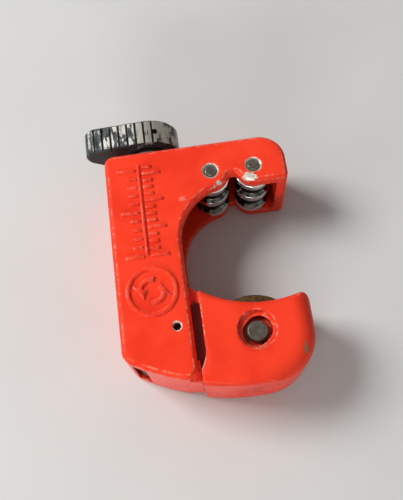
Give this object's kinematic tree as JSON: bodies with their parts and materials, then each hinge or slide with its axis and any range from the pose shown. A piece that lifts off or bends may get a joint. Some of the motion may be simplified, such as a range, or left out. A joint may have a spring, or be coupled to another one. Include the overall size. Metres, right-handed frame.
{
  "type": "tubing cutter",
  "caption": "Small hand tubing cutter: a C-shaped frame with grooved guide rollers, and a sliding head with a cutter wheel, fed by a screw with a lever knob.",
  "frame": {"origin": "on the flat back face, under the feed screw and level with the cutter wheel's axle while the cutter is fully open", "axes": "+Z out of the front cheek, +Y along the feed screw towards the knob, +X from the spine to the open throat"},
  "size_m": [0.0441, 0.063, 0.019],
  "materials": {
    "paint": "glossy enamel over a zinc casting",
    "knob_paint": "black paint worn off the ridges",
    "steel": "turned, bright",
    "spring_steel": "dark, oiled",
    "chrome": "polished plating",
    "pin_steel": "ground ends",
    "wheel_steel": "tool steel, tarnished"
  },
  "bodies": {
    "frame_body": {"frame": "paint", "inner_roller_pin": "pin_steel", "outer_roller_pin": "pin_steel", "thrust_washer": "steel"},
    "slide_body": {"slide": "paint", "wheel_axle": "pin_steel", "axle_clip": "spring_steel"},
    "screw_body": {"feed_screw": "steel", "knob": "knob_paint", "knob_pin": "spring_steel", "screw_clip": "spring_steel"},
    "inner_roller_body": {"inner_roller": "chrome"},
    "outer_roller_body": {"outer_roller": "chrome"},
    "wheel_body": {"cutter_wheel": "wheel_steel"}
  },
  "joints": [
    {"name": "slide_travel", "type": "slide", "parent": "frame_body", "child": "slide_body", "axis": [0, 1, 0], "range_m": [0, 0.017]},
    {"name": "screw_turn", "type": "hinge", "parent": "frame_body", "child": "screw_body", "pos_m": [0, 0.0525, 0.0095], "axis": [0, -1, 0], "range_deg": [0, 4896]},
    {"name": "inner_roller_spin", "type": "hinge", "parent": "frame_body", "child": "inner_roller_body", "pos_m": [0.0133, 0.0363, 0.0095], "axis": [0, 0, 1], "continuous": true},
    {"name": "outer_roller_spin", "type": "hinge", "parent": "frame_body", "child": "outer_roller_body", "pos_m": [0.0227, 0.0363, 0.0095], "axis": [0, 0, 1], "continuous": true},
    {"name": "wheel_spin", "type": "hinge", "parent": "slide_body", "child": "wheel_body", "pos_m": [0.01785, 0, 0.0095], "axis": [0, 0, 1], "continuous": true}
  ],
  "couplings": [
    {"joint": "screw_turn", "follows": "slide_travel", "rad_per_m": 5026.5}
  ]
}
